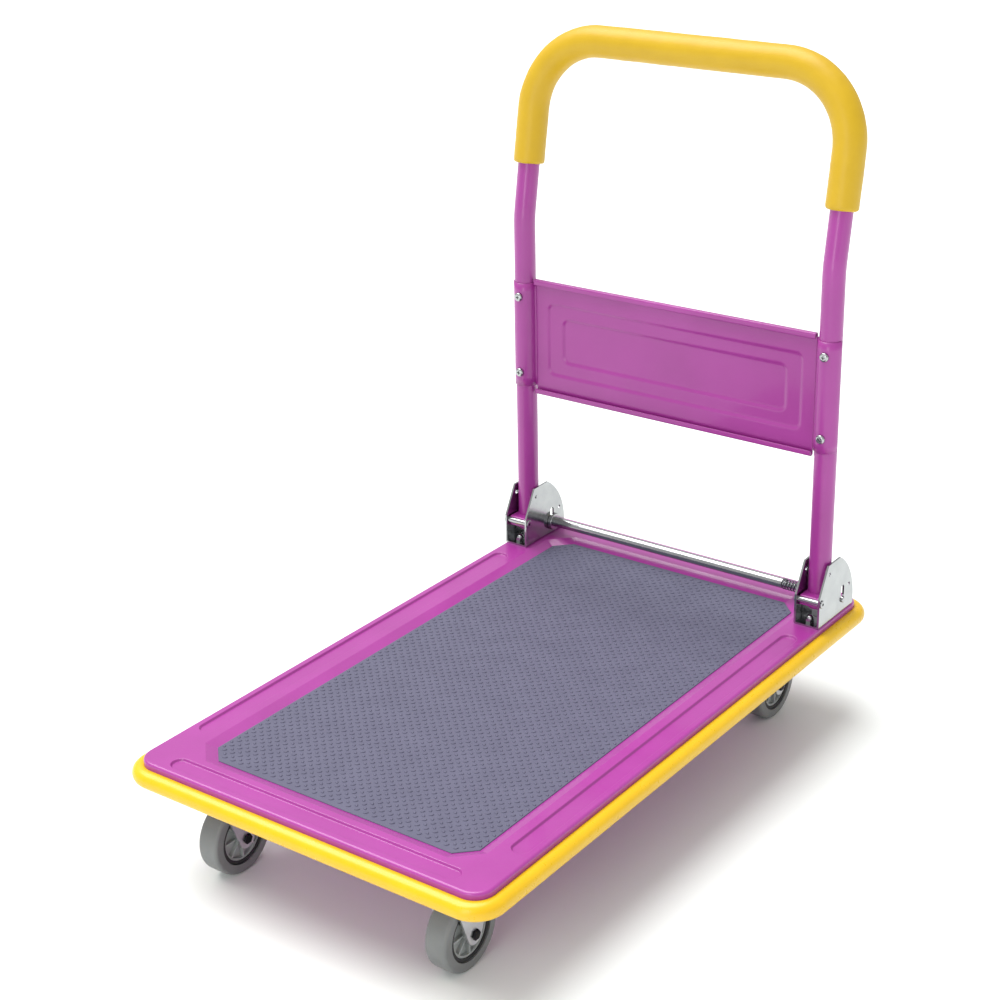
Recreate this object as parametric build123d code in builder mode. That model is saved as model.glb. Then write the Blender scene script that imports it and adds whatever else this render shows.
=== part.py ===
"""Folding platform cart: a pressed steel deck on four casters with a fold-down push handle.

Millimetres. X runs across the cart, -Y is the front end, +Y is the handle end, Z is up.
The origin is on the floor under the middle of the deck.
"""
import os
from math import tan

from build123d import *

os.makedirs("parts", exist_ok=True)

# Wheels
WHEEL_RADIUS = 45.5
TYRE_WIDTH = 28.0
TYRE_SHOULDER = 4.0
RING_RADIUS = 33.5
RING_WIDTH = 25.0
RING_EDGE = 1.2
RIM_RADIUS = 29.0
RIM_WIDTH = 22.0
RIM_WALL = 2.5
RIB_COUNT = 8
RIB_THICKNESS = 2.2
WEB_THICKNESS = 13.0
BOSS_RADIUS = 9.0
BOSS_WIDTH = 30.0
BUSH_RADIUS = 6.0
AXLE_RADIUS = 4.0
RUNNING_FIT = 0.05

# Deck pan: one pressed sheet with a turned-down skirt
DECK_WIDTH = 480.6
DECK_LENGTH = 817.2
DECK_RISE = 59.6
DECK_CORNER = 24.0
DECK_EDGE = 3.5
DECK_SHEET = 1.5

# Bumper: a round strip with a slot, pushed up onto the skirt's edge
BUMPER_RADIUS = 10.6
BUMPER_OUT = 3.5
BUMPER_DROP = 18.3
SLOT_DEPTH = 12.0
SLOT_CLEARANCE = 0.1

# Recess that holds the mat, and the mat
MAT_SIDE_MARGIN = 56.0
MAT_FRONT_MARGIN = 53.7
MAT_REAR_MARGIN = 61.1
MAT_CORNER_CUT = 21.0
MAT_THICKNESS = 2.0
MAT_EDGE = 0.5
MAT_CLEARANCE = 0.7
RECESS_DEPTH = 5.0
RECESS_SLOPE_WIDTH = 13.0
RECESS_BEND = 2.5

# Stiffening beads pressed into the deck margin
BEAD_WIDTH = 22.0
BEAD_DEPTH = 2.8
BEAD_TAPER = 30.0
BEAD_INSET = 20.2
BEAD_FRONT_MARGIN = 86.6
BEAD_REAR_MARGIN = 145.6
BEAD_SIDE_MARGIN = 40.3
BEAD_BEND = 1.2

# Cross channels welded under the deck, open at the top
CHANNEL_WIDTH = 92.0
CHANNEL_INSET = 8.3
CHANNEL_SHEET = 2.5
CHANNEL_DROP = 32.5

# Casters
WHEEL_INSET = 79.0
FRONT_WHEEL_INSET = 67.8
SWIVEL_INSET = 68.5
SWIVEL_TRAIL = 26.0
FORK_GAP = 33.0
FORK_SHEET = 2.5
FORK_TIP_RADIUS = 12.0
FORK_TOP_WIDTH = 76.0
SIDE_PLAY = 0.3
PLATE_X = 74.0
PLATE_Y = 92.0
PLATE_SHEET = 2.5
PLATE_CORNER = 6.0
PLATE_HOLES_X = 52.0
PLATE_HOLES_Y = 72.0
BALL_DIAMETER = 7.4
BALL_PITCH_RADIUS = 17.0
BALL_COUNT = 12
BALL_PLAY = 0.1
RACE_RADIUS = 26.0
CROWN_RADIUS = 29.0
RACE_WALL = 2.0
KINGPIN_RADIUS = 5.0
KINGPIN_HEAD_RADIUS = 8.5
KINGPIN_HEAD = 3.0

# Fasteners
M6_RADIUS = 3.0
M6_HOLE_RADIUS = 3.3
M6_FLATS = 10.0
M6_HEAD = 4.0
AXLE_FLATS = 11.0
AXLE_HEAD = 3.0
NUT_HEIGHT = 5.0
THREAD_END = 1.5
HEAD_EDGE = 0.8
CAP_RADIUS = 4.6
CAP_HEIGHT = 10.0
CAP_ROUND = 3.7

# Handle tube
TUBE_RADIUS = 14.0
TUBE_WALL = 1.8
TUBE_REAR_INSET = 83.3
TUBE_FOOT_RISE = 17.4
LEAN_BEND_Z = 604.5
LEAN = 0.171
BAR_Z = 829.8
HANDLE_CORNER = 92.0
LEAN_BEND_RADIUS = 130.0
GRIP_WALL = 6.0
GRIP_END_Z = 672.0
GRIP_EDGE = 3.0
GRIP_CLEARANCE = 0.05

# Back panel between the tubes
PANEL_SHEET = 1.2
PANEL_BOTTOM = 366.5
PANEL_TOP = 524.0
PANEL_HEM_REACH = 8.0
PANEL_HEM_LIP = 6.5
PANEL_HEM_GAP = 3.5
HEM_BEND = 1.0
WRAP_BOTTOM = 377.0
WRAP_TOP = 518.5
WRAP_CLEARANCE = 0.1
EMBOSS_STEP = 1.5
EMBOSS_TAPER = 40.0
EMBOSS_CORNER = 8.0
EMBOSS_SIDE_MARGIN = 36.5
EMBOSS_HEIGHT = 97.0
EMBOSS_RING_X = 22.0
EMBOSS_RING_Z = 18.75
EMBOSS_Z = 444.5
SCREW_HEIGHTS = (396.0, 500.0)
SCREW_HEAD_RADIUS = 5.8
SCREW_HEAD_HEIGHT = 3.6
SCREW_HEAD_ROUND = 2.5
SCREW_RADIUS = 2.4
SCREW_LENGTH = 12.0
SCREW_SLOT = 1.3
SCREW_SLOT_DEPTH = 2.2

# Hinge brackets: y from the tube's middle, z above the deck
BRACKET_SHEET = 2.5
BRACKET_INSET = 0.3
TUBE_SIDE_GAP = 1.0
BRACKET_FRONT = -31.3
BRACKET_REAR = 59.7
BRACKET_SHOULDER = 40.4
BRACKET_HEEL = 14.4
BRACKET_PEAK = (-10.3, 79.4)
BRACKET_CREST = (20.7, 79.9)
BRACKET_ARC_MID = (48.2, 52.4)
BRACKET_BOLTS = (-21.3, 49.2)
BRACKET_HOLES = ((-7.3, 66.9), (47.2, 33.4))
BRACKET_HOLE_RADIUS = 2.4

# Pivot of the handle
PIVOT_GAP = 11.3
PIVOT_RISE = 32.9
PIVOT_PIN_RADIUS = 2.8
PIVOT_PIN_BORE = 1.9
PIVOT_HEAD_RADIUS = 5.2
PIVOT_HEAD_HEIGHT = 1.6
PIVOT_HEAD_EDGE = 0.6
SLEEVE_WALL = 1.15
SADDLE_WIDTH = 26.0
SADDLE_BELOW = 8.0
SADDLE_ABOVE = 5.5
SADDLE_EDGE = 2.0
FOOT_TONGUE_WIDTH = 14.0
FOOT_TONGUE_DEPTH = 6.0
FOOT_PLUG_LENGTH = 18.0
STOP_GAP = 0.3

# Release rod
ROD_GAP = 16.2
ROD_RISE = 17.9
ROD_RADIUS = 6.75
ROD_NECK_RADIUS = 3.75
ROD_LIFT = 16.0
ROD_SLOT_CLEARANCE = 0.35
ROD_PROTRUSION = 2.5
COLLAR_RADIUS = 12.0
COLLAR_WIDTH = 6.0
COLLAR_GAP = 0.3
SPRING_LENGTH = 26.0
SPRING_COILS = 5
SPRING_WIRE = 1.8
SPRING_PROUD = 0.5
SPRING_SEAT = 0.3
WASHER_THICKNESS = 1.0
WASHER_RADIUS = 8.0

# Worked out from the sizes above
HALF_WIDTH = DECK_WIDTH / 2
HALF_LENGTH = DECK_LENGTH / 2
DECK_TOP = 2 * WHEEL_RADIUS + DECK_RISE
BUMPER_Z = DECK_TOP - BUMPER_DROP
SKIRT_Z = BUMPER_Z + BUMPER_RADIUS - SLOT_DEPTH
RECESS_FLOOR = DECK_TOP - RECESS_DEPTH
CHANNEL_FLOOR = DECK_TOP - CHANNEL_DROP
PLATE_BOTTOM = CHANNEL_FLOOR - PLATE_SHEET
WHEEL_X = HALF_WIDTH - WHEEL_INSET
FRONT_WHEEL_Y = -HALF_LENGTH + FRONT_WHEEL_INSET
SWIVEL_Y = HALF_LENGTH - SWIVEL_INSET
REAR_WHEEL_Y = SWIVEL_Y - SWIVEL_TRAIL
BRACKET_GAP = 2 * (TUBE_RADIUS + TUBE_SIDE_GAP)
BRACKET_WIDTH = BRACKET_GAP + 2 * BRACKET_SHEET
BRACKET_BASE_TOP = DECK_TOP + BRACKET_SHEET
TUBE_X = HALF_WIDTH - BRACKET_INSET - BRACKET_WIDTH / 2
TUBE_Y = HALF_LENGTH - TUBE_REAR_INSET
TUBE_FOOT = DECK_TOP + TUBE_FOOT_RISE
PIVOT_Y = TUBE_Y - TUBE_RADIUS - PIVOT_GAP
PIVOT_Z = DECK_TOP + PIVOT_RISE
SLEEVE_RADIUS = PIVOT_PIN_RADIUS + RUNNING_FIT + SLEEVE_WALL
ROD_Y = TUBE_Y + TUBE_RADIUS + ROD_GAP
ROD_Z = DECK_TOP + ROD_RISE
LEAN_SLOPE = tan(LEAN)
BAR_Y = TUBE_Y + (BAR_Z - LEAN_BEND_Z) * LEAN_SLOPE
GRIP_END_Y = TUBE_Y + (GRIP_END_Z - LEAN_BEND_Z) * LEAN_SLOPE
GRIP_RADIUS = TUBE_RADIUS + GRIP_WALL
WRAP_RADIUS = TUBE_RADIUS + WRAP_CLEARANCE
PANEL_HEM_X = TUBE_X - TUBE_RADIUS - PANEL_HEM_GAP
EMBOSS_OUTER = (2 * (TUBE_X - EMBOSS_SIDE_MARGIN), EMBOSS_HEIGHT)
EMBOSS_INNER = (EMBOSS_OUTER[0] - 2 * EMBOSS_RING_X, EMBOSS_HEIGHT - 2 * EMBOSS_RING_Z)
BALL_Z = PLATE_BOTTOM - BALL_PLAY - BALL_DIAMETER / 2
CROWN_TOP = BALL_Z - BALL_DIAMETER / 2 - BALL_PLAY
SIDES = {"left": -1, "right": 1}
OVERSHOOT = 5.0


def save(part, name):
    """Label a finished piece and write it as its own STEP file."""
    part.label = name
    export_step(part, f"parts/{name}.step")


def mat_outline(grow):
    """The corners of the mat's eight-sided outline, grown outward by the given amount."""
    corner = MAT_CORNER_CUT + grow * (2 - 2 ** 0.5)
    half_x = HALF_WIDTH - MAT_SIDE_MARGIN + grow
    front = -HALF_LENGTH + MAT_FRONT_MARGIN - grow
    rear = HALF_LENGTH - MAT_REAR_MARGIN + grow
    return [
        (-half_x, front + corner),
        (-half_x + corner, front),
        (half_x - corner, front),
        (half_x, front + corner),
        (half_x, rear - corner),
        (half_x - corner, rear),
        (-half_x + corner, rear),
        (-half_x, rear - corner),
    ]


def recess_tool(sheet):
    """The pressed recess, or with a sheet thickness the bulge that it makes underneath."""
    slope = RECESS_SLOPE_WIDTH / RECESS_DEPTH
    height = RECESS_DEPTH + sheet + OVERSHOOT
    with BuildPart() as tool:
        with BuildSketch(Plane.XY.offset(RECESS_FLOOR - sheet)):
            Polygon(*mat_outline(MAT_CLEARANCE + sheet), align=None)
        with BuildSketch(Plane.XY.offset(DECK_TOP + OVERSHOOT)):
            Polygon(*mat_outline(MAT_CLEARANCE + sheet + slope * height), align=None)
        loft()
        floor = tool.faces().sort_by(Axis.Z)[0]
        fillet(floor.edges(), RECESS_BEND + sheet)
    return tool.part


def bead_tool(sheet):
    """The three beads in the deck margin, or the ridges that they make underneath."""
    width = BEAD_WIDTH + 2 * sheet
    side_x = HALF_WIDTH - BEAD_INSET
    side_y = (BEAD_FRONT_MARGIN - BEAD_REAR_MARGIN) / 2
    side_length = DECK_LENGTH - BEAD_FRONT_MARGIN - BEAD_REAR_MARGIN + 2 * sheet
    front_y = -HALF_LENGTH + BEAD_INSET
    front_length = DECK_WIDTH - 2 * BEAD_SIDE_MARGIN + 2 * sheet
    with BuildPart() as tool:
        with BuildSketch(Plane.XY.offset(DECK_TOP)):
            with Locations((-side_x, side_y), (side_x, side_y)):
                SlotOverall(side_length, width, rotation=90)
            with Locations((0, front_y)):
                SlotOverall(front_length, width)
        extrude(amount=-(BEAD_DEPTH + sheet), taper=BEAD_TAPER)
        bottoms = tool.faces().filter_by(Axis.Z).group_by(Axis.Z)[0]
        fillet(bottoms.edges(), BEAD_BEND)
    return tool.part


def rounded_block(inset, low, high):
    """A block with the deck's outline, drawn in by the given inset."""
    with BuildPart() as block:
        with BuildSketch(Plane.XY.offset(low)):
            RectangleRounded(DECK_WIDTH - 2 * inset, DECK_LENGTH - 2 * inset, DECK_CORNER - inset)
        extrude(amount=high - low)
    return block.part


def on_bead(edge):
    """True for an edge outside the recess, in the margin of the deck."""
    centre = edge.center()
    outside = abs(centre.X) > HALF_WIDTH - 2 * BEAD_INSET
    return outside or centre.Y < -HALF_LENGTH + 2 * BEAD_INSET


# Deck plate
recess = recess_tool(0)
recess_bulge = recess_tool(DECK_SHEET)
beads = bead_tool(0)
bead_ridges = bead_tool(DECK_SHEET)
bracket_bolt_places = [
    (side * TUBE_X, TUBE_Y + y) for side in SIDES.values() for y in BRACKET_BOLTS
]

with BuildPart() as deck_cavity:
    add(rounded_block(DECK_SHEET, SKIRT_Z - OVERSHOOT, DECK_TOP - DECK_SHEET))
    fillet(deck_cavity.faces().sort_by(Axis.Z)[-1].edges(), DECK_EDGE - DECK_SHEET)
    add(recess_bulge, mode=Mode.SUBTRACT)
    add(bead_ridges, mode=Mode.SUBTRACT)

with BuildPart() as deck_plate:
    add(rounded_block(0, SKIRT_Z, DECK_TOP))
    add(recess, mode=Mode.SUBTRACT)
    fillet(deck_plate.faces().sort_by(Axis.Z)[-1].inner_wires().edges(), RECESS_BEND)
    add(beads, mode=Mode.SUBTRACT)
    fillet(deck_plate.faces().sort_by(Axis.Z)[-1].inner_wires().edges().filter_by(on_bead), BEAD_BEND)
    fillet(deck_plate.faces().sort_by(Axis.Z)[-1].outer_wire().edges(), DECK_EDGE)
    add(deck_cavity.part, mode=Mode.SUBTRACT)
    with BuildSketch(Plane.XY.offset(DECK_TOP)):
        with Locations(*bracket_bolt_places):
            Circle(M6_HOLE_RADIUS)
    extrude(amount=-2 * DECK_SHEET, mode=Mode.SUBTRACT)
save(deck_plate.part, "deck_plate")

# Mat, laid on the recess floor
with BuildPart() as deck_mat:
    with BuildSketch(Plane.XY.offset(RECESS_FLOOR)):
        Polygon(*mat_outline(0), align=None)
    extrude(amount=MAT_THICKNESS)
    fillet(deck_mat.faces().sort_by(Axis.Z)[-1].edges(), MAT_EDGE)
save(deck_mat.part, "deck_mat")

# Bumper strip around the skirt, with the slot that grips the skirt's lower edge
with BuildPart() as skirt_slot:
    add(rounded_block(-SLOT_CLEARANCE, SKIRT_Z - SLOT_CLEARANCE, DECK_TOP))
    add(rounded_block(DECK_SHEET + SLOT_CLEARANCE, SKIRT_Z - OVERSHOOT, DECK_TOP), mode=Mode.SUBTRACT)

with BuildPart() as bumper_strip:
    with BuildLine(Plane.XY.offset(BUMPER_Z)) as bumper_line:
        half_x = HALF_WIDTH + BUMPER_OUT
        half_y = HALF_LENGTH + BUMPER_OUT
        FilletPolyline(
            (-half_x, -half_y),
            (half_x, -half_y),
            (half_x, half_y),
            (-half_x, half_y),
            radius=DECK_CORNER + BUMPER_OUT,
            close=True,
        )
    start = bumper_line.line.edges().filter_by(GeomType.LINE).sort_by(Axis.Y)[0] @ 0.5
    with BuildSketch(Plane(origin=start, x_dir=(0, 1, 0), z_dir=(1, 0, 0))):
        Circle(BUMPER_RADIUS)
    sweep(path=bumper_line.line)
    add(skirt_slot.part, mode=Mode.SUBTRACT)
save(bumper_strip.part, "bumper_strip")


# Cross channels under the deck
def cross_channel(name, centre_y, caster_holes):
    """An open-topped channel cut to the underside of the pressed deck."""
    with BuildPart() as channel:
        with BuildSketch(Plane.XY.offset(CHANNEL_FLOOR)):
            with Locations((0, centre_y)):
                Rectangle(DECK_WIDTH - 2 * CHANNEL_INSET, CHANNEL_WIDTH)
        extrude(amount=DECK_TOP - DECK_SHEET - CHANNEL_FLOOR)
        with BuildSketch(Plane.XY.offset(CHANNEL_FLOOR + CHANNEL_SHEET)):
            with Locations((0, centre_y)):
                Rectangle(DECK_WIDTH, CHANNEL_WIDTH - 2 * CHANNEL_SHEET)
        extrude(amount=CHANNEL_DROP, mode=Mode.SUBTRACT)
        add(recess_bulge, mode=Mode.SUBTRACT)
        add(bead_ridges, mode=Mode.SUBTRACT)
        if caster_holes:
            with BuildSketch(Plane.XY.offset(CHANNEL_FLOOR)):
                with Locations((-WHEEL_X, centre_y), (WHEEL_X, centre_y)):
                    with GridLocations(PLATE_HOLES_X, PLATE_HOLES_Y, 2, 2):
                        Circle(M6_HOLE_RADIUS)
            extrude(amount=CHANNEL_SHEET, mode=Mode.SUBTRACT)
    save(channel.part, name)


cross_channel("cross_channel_front", FRONT_WHEEL_Y, True)
cross_channel("cross_channel_middle", 0, False)
cross_channel("cross_channel_rear", SWIVEL_Y, True)


# Wheels
def wheel(name, centre_x, centre_y):
    """Tyre, black ring, ribbed core and axle bush of one wheel."""
    axle = Location((centre_x, centre_y, WHEEL_RADIUS))
    section = Plane(origin=axle.position, x_dir=(0, 0, 1), z_dir=(0, -1, 0))
    side = Plane(origin=axle.position, x_dir=(0, 1, 0), z_dir=(1, 0, 0))
    hub_axis = Axis(axle.position, (1, 0, 0))
    with BuildPart() as tyre:
        with BuildSketch(section):
            with Locations(((WHEEL_RADIUS + RING_RADIUS) / 2, 0)):
                Rectangle(WHEEL_RADIUS - RING_RADIUS, TYRE_WIDTH)
        revolve(axis=hub_axis)
        rims = tyre.edges().filter_by(GeomType.CIRCLE).group_by(SortBy.RADIUS)[-1]
        fillet(rims, TYRE_SHOULDER)
    save(tyre.part, f"tyre_{name}")
    with BuildPart() as ring:
        with BuildSketch(section):
            with Locations(((RING_RADIUS + RIM_RADIUS) / 2, 0)):
                Rectangle(RING_RADIUS - RIM_RADIUS, RING_WIDTH)
        revolve(axis=hub_axis)
        fillet(ring.edges().filter_by(GeomType.CIRCLE).group_by(SortBy.RADIUS)[-1], RING_EDGE)
    save(ring.part, f"wheel_ring_{name}")
    with BuildPart() as core:
        with BuildSketch(side):
            Circle(RIM_RADIUS)
        extrude(amount=RIM_WIDTH / 2, both=True)
        with BuildSketch(side):
            Circle(RIM_RADIUS - RIM_WALL)
            Circle(BOSS_RADIUS, mode=Mode.SUBTRACT)
            with PolarLocations(0, RIB_COUNT):
                with Locations((RIM_RADIUS / 2, 0)):
                    Rectangle(RIM_RADIUS, RIB_THICKNESS, mode=Mode.SUBTRACT)
        extrude(amount=RIM_WIDTH, both=True, mode=Mode.SUBTRACT)
        with BuildSketch(side):
            Circle(RIM_RADIUS - RIM_WALL / 2)
        extrude(amount=WEB_THICKNESS / 2, both=True)
        with BuildSketch(side):
            Circle(BOSS_RADIUS)
        extrude(amount=BOSS_WIDTH / 2, both=True)
        with BuildSketch(side):
            Circle(BUSH_RADIUS)
        extrude(amount=TYRE_WIDTH, both=True, mode=Mode.SUBTRACT)
    save(core.part, f"wheel_core_{name}")
    with BuildPart() as bush:
        with BuildSketch(side):
            Circle(BUSH_RADIUS)
            Circle(AXLE_RADIUS + RUNNING_FIT, mode=Mode.SUBTRACT)
        extrude(amount=FORK_GAP / 2 - SIDE_PLAY, both=True)
    save(bush.part, f"wheel_bush_{name}")


def axle_set(name, centre_x, centre_y):
    """Axle bolt through the fork and the nut that holds it."""
    outer = FORK_GAP / 2 + FORK_SHEET
    side = Plane(origin=(centre_x, centre_y, WHEEL_RADIUS), x_dir=(0, 1, 0), z_dir=(1, 0, 0))
    with BuildPart() as bolt:
        with BuildSketch(side):
            Circle(AXLE_RADIUS)
        extrude(amount=outer + NUT_HEIGHT + THREAD_END, dir=(-1, 0, 0))
        with BuildSketch(side):
            Circle(AXLE_RADIUS)
        extrude(amount=outer)
        with BuildSketch(side.offset(outer)):
            RegularPolygon(AXLE_FLATS / 2, 6, major_radius=False)
        extrude(amount=AXLE_HEAD)
        fillet(bolt.faces().sort_by(Axis.X)[-1].edges(), HEAD_EDGE)
    save(bolt.part, f"axle_bolt_{name}")
    with BuildPart() as nut:
        with BuildSketch(side.offset(-outer)):
            RegularPolygon(AXLE_FLATS / 2, 6, major_radius=False)
            Circle(AXLE_RADIUS, mode=Mode.SUBTRACT)
        extrude(amount=-NUT_HEIGHT)
    save(nut.part, f"axle_nut_{name}")


def fork_legs(centre_x, axle_y, top_z, low_y, high_y):
    """The two tapered legs of a fork, joined by their pressed crown sheet."""
    side = Plane(origin=(centre_x, 0, 0), x_dir=(0, 1, 0), z_dir=(1, 0, 0))
    outer = FORK_GAP / 2 + FORK_SHEET
    with BuildPart() as legs:
        with BuildSketch(side):
            with Locations((axle_y, WHEEL_RADIUS)):
                Circle(FORK_TIP_RADIUS)
            with Locations(((low_y + high_y) / 2, top_z - FORK_SHEET / 2)):
                Rectangle(high_y - low_y, FORK_SHEET)
            make_hull()
        extrude(amount=outer, both=True)
        long_edges = legs.edges().filter_by(Axis.Y).group_by(Axis.Z)[-1]
        fillet(long_edges, FORK_SHEET)
        with BuildSketch(Plane.XY.offset(top_z - FORK_SHEET)):
            with Locations((centre_x, axle_y)):
                Rectangle(FORK_GAP, 2 * PLATE_Y)
        extrude(amount=-top_z, mode=Mode.SUBTRACT)
        with BuildSketch(side):
            with Locations((axle_y, WHEEL_RADIUS)):
                Circle(AXLE_RADIUS)
        extrude(amount=outer, both=True, mode=Mode.SUBTRACT)
    return legs.part


for name, side_x in SIDES.items():
    centre_x = side_x * WHEEL_X

    # Rigid caster at the front: mounting plate with its fork legs
    legs = fork_legs(
        centre_x,
        FRONT_WHEEL_Y,
        PLATE_BOTTOM + FORK_SHEET,
        FRONT_WHEEL_Y - FORK_TOP_WIDTH / 2,
        FRONT_WHEEL_Y + FORK_TOP_WIDTH / 2,
    )
    with BuildPart() as rigid_fork:
        with BuildSketch(Plane.XY.offset(PLATE_BOTTOM)):
            with Locations((centre_x, FRONT_WHEEL_Y)):
                RectangleRounded(PLATE_X, PLATE_Y, PLATE_CORNER)
                with GridLocations(PLATE_HOLES_X, PLATE_HOLES_Y, 2, 2):
                    Circle(M6_HOLE_RADIUS, mode=Mode.SUBTRACT)
        extrude(amount=PLATE_SHEET)
        add(legs)
    save(rigid_fork.part, f"rigid_fork_{name}")
    wheel(f"front_{name}", centre_x, FRONT_WHEEL_Y)
    axle_set(f"front_{name}", centre_x, FRONT_WHEEL_Y)

    # Swivel caster at the rear: plate with its race, fork that turns below it, kingpin
    with BuildPart() as swivel_plate:
        with BuildSketch(Plane.XY.offset(PLATE_BOTTOM)):
            with Locations((centre_x, SWIVEL_Y)):
                RectangleRounded(PLATE_X, PLATE_Y, PLATE_CORNER)
                with GridLocations(PLATE_HOLES_X, PLATE_HOLES_Y, 2, 2):
                    Circle(M6_HOLE_RADIUS, mode=Mode.SUBTRACT)
                Circle(KINGPIN_RADIUS, mode=Mode.SUBTRACT)
        extrude(amount=PLATE_SHEET)
        with BuildSketch(Plane.XY.offset(PLATE_BOTTOM)):
            with Locations((centre_x, SWIVEL_Y)):
                Circle(RACE_RADIUS)
                Circle(RACE_RADIUS - RACE_WALL, mode=Mode.SUBTRACT)
        extrude(amount=-BALL_DIAMETER / 2)
    save(swivel_plate.part, f"swivel_plate_{name}")
    legs = fork_legs(
        centre_x,
        REAR_WHEEL_Y,
        CROWN_TOP,
        SWIVEL_Y - CROWN_RADIUS,
        SWIVEL_Y + CROWN_RADIUS - FORK_TIP_RADIUS,
    )
    with BuildPart() as swivel_fork:
        with BuildSketch(Plane.XY.offset(CROWN_TOP)):
            with Locations((centre_x, SWIVEL_Y)):
                Circle(CROWN_RADIUS)
        extrude(amount=-FORK_SHEET)
        add(legs)
        with BuildSketch(Plane.XY.offset(CROWN_TOP)):
            with Locations((centre_x, SWIVEL_Y)):
                Circle(KINGPIN_RADIUS + RUNNING_FIT)
        extrude(amount=-FORK_SHEET, mode=Mode.SUBTRACT)
    save(swivel_fork.part, f"swivel_fork_{name}")
    with BuildPart() as kingpin:
        with BuildSketch(Plane.XY.offset(CHANNEL_FLOOR)):
            with Locations((centre_x, SWIVEL_Y)):
                Circle(KINGPIN_RADIUS)
        extrude(amount=-(CHANNEL_FLOOR - CROWN_TOP + FORK_SHEET + SIDE_PLAY))
        with BuildSketch(Plane.XY.offset(CROWN_TOP - FORK_SHEET - SIDE_PLAY)):
            with Locations((centre_x, SWIVEL_Y)):
                Circle(KINGPIN_HEAD_RADIUS)
        extrude(amount=-KINGPIN_HEAD)
        fillet(kingpin.faces().sort_by(Axis.Z)[0].edges(), HEAD_EDGE)
    save(kingpin.part, f"kingpin_{name}")
    wheel(f"rear_{name}", centre_x, REAR_WHEEL_Y)
    axle_set(f"rear_{name}", centre_x, REAR_WHEEL_Y)

with BuildPart() as swivel_balls:
    with Locations((-WHEEL_X, SWIVEL_Y, BALL_Z), (WHEEL_X, SWIVEL_Y, BALL_Z)):
        with PolarLocations(BALL_PITCH_RADIUS, BALL_COUNT):
            Sphere(BALL_DIAMETER / 2)
save(swivel_balls.part, "swivel_balls")

# Caster bolts come up from below, with their nuts inside the channels
caster_centres = [(side * WHEEL_X, y) for side in SIDES.values() for y in (FRONT_WHEEL_Y, SWIVEL_Y)]
channel_floor_top = CHANNEL_FLOOR + CHANNEL_SHEET
with BuildPart() as caster_bolts:
    with BuildSketch(Plane.XY.offset(PLATE_BOTTOM)):
        with Locations(*caster_centres):
            with GridLocations(PLATE_HOLES_X, PLATE_HOLES_Y, 2, 2):
                RegularPolygon(M6_FLATS / 2, 6, major_radius=False)
    extrude(amount=-M6_HEAD)
    with BuildSketch(Plane.XY.offset(PLATE_BOTTOM)):
        with Locations(*caster_centres):
            with GridLocations(PLATE_HOLES_X, PLATE_HOLES_Y, 2, 2):
                Circle(M6_RADIUS)
    extrude(amount=channel_floor_top + NUT_HEIGHT + THREAD_END - PLATE_BOTTOM)
save(caster_bolts.part, "caster_bolts")

with BuildPart() as caster_nuts:
    with BuildSketch(Plane.XY.offset(channel_floor_top)):
        with Locations(*caster_centres):
            with GridLocations(PLATE_HOLES_X, PLATE_HOLES_Y, 2, 2):
                RegularPolygon(M6_FLATS / 2, 6, major_radius=False)
                Circle(M6_RADIUS, mode=Mode.SUBTRACT)
    extrude(amount=NUT_HEIGHT)
save(caster_nuts.part, "caster_nuts")

# Hinge brackets: bent channels bolted to the deck, one around each tube
for name, side_x in SIDES.items():
    middle = Plane(origin=(side_x * TUBE_X, TUBE_Y, DECK_TOP), x_dir=(0, 1, 0), z_dir=(1, 0, 0))
    with BuildPart() as bracket:
        with BuildSketch(middle):
            with BuildLine():
                Polyline(
                    BRACKET_CREST,
                    BRACKET_PEAK,
                    (BRACKET_FRONT, BRACKET_SHOULDER),
                    (BRACKET_FRONT, 0),
                    (BRACKET_REAR, 0),
                    (BRACKET_REAR, BRACKET_HEEL),
                )
                ThreePointArc((BRACKET_REAR, BRACKET_HEEL), BRACKET_ARC_MID, BRACKET_CREST)
            make_face()
        extrude(amount=BRACKET_WIDTH / 2, both=True)
        fillet(bracket.edges().filter_by(Axis.Y).group_by(Axis.Z)[0], BRACKET_SHEET)
        with BuildSketch(Plane.XY.offset(BRACKET_BASE_TOP)):
            with Locations((side_x * TUBE_X, TUBE_Y)):
                Rectangle(BRACKET_GAP, 4 * BRACKET_REAR)
        extrude(amount=DECK_TOP, mode=Mode.SUBTRACT)
        with BuildSketch(Plane.XY.offset(DECK_TOP)):
            with Locations(*bracket_bolt_places):
                Circle(M6_HOLE_RADIUS)
        extrude(amount=BRACKET_SHEET, mode=Mode.SUBTRACT)
        with BuildSketch(middle):
            with Locations((PIVOT_Y - TUBE_Y, PIVOT_RISE)):
                Circle(PIVOT_PIN_RADIUS)
            with Locations(*BRACKET_HOLES):
                Circle(BRACKET_HOLE_RADIUS)
            with Locations((ROD_Y - TUBE_Y, ROD_RISE + ROD_LIFT / 2)):
                SlotCenterToCenter(ROD_LIFT, 2 * (ROD_NECK_RADIUS + ROD_SLOT_CLEARANCE), rotation=90)
        extrude(amount=BRACKET_WIDTH, both=True, mode=Mode.SUBTRACT)
    save(bracket.part, f"hinge_bracket_{name}")

with BuildPart() as bracket_bolts:
    with BuildSketch(Plane.XY.offset(DECK_TOP - DECK_SHEET)):
        with Locations(*bracket_bolt_places):
            RegularPolygon(M6_FLATS / 2, 6, major_radius=False)
    extrude(amount=-M6_HEAD)
    with BuildSketch(Plane.XY.offset(DECK_TOP - DECK_SHEET)):
        with Locations(*bracket_bolt_places):
            Circle(M6_RADIUS)
    extrude(amount=DECK_SHEET + BRACKET_SHEET + NUT_HEIGHT)
save(bracket_bolts.part, "bracket_bolts")

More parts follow.
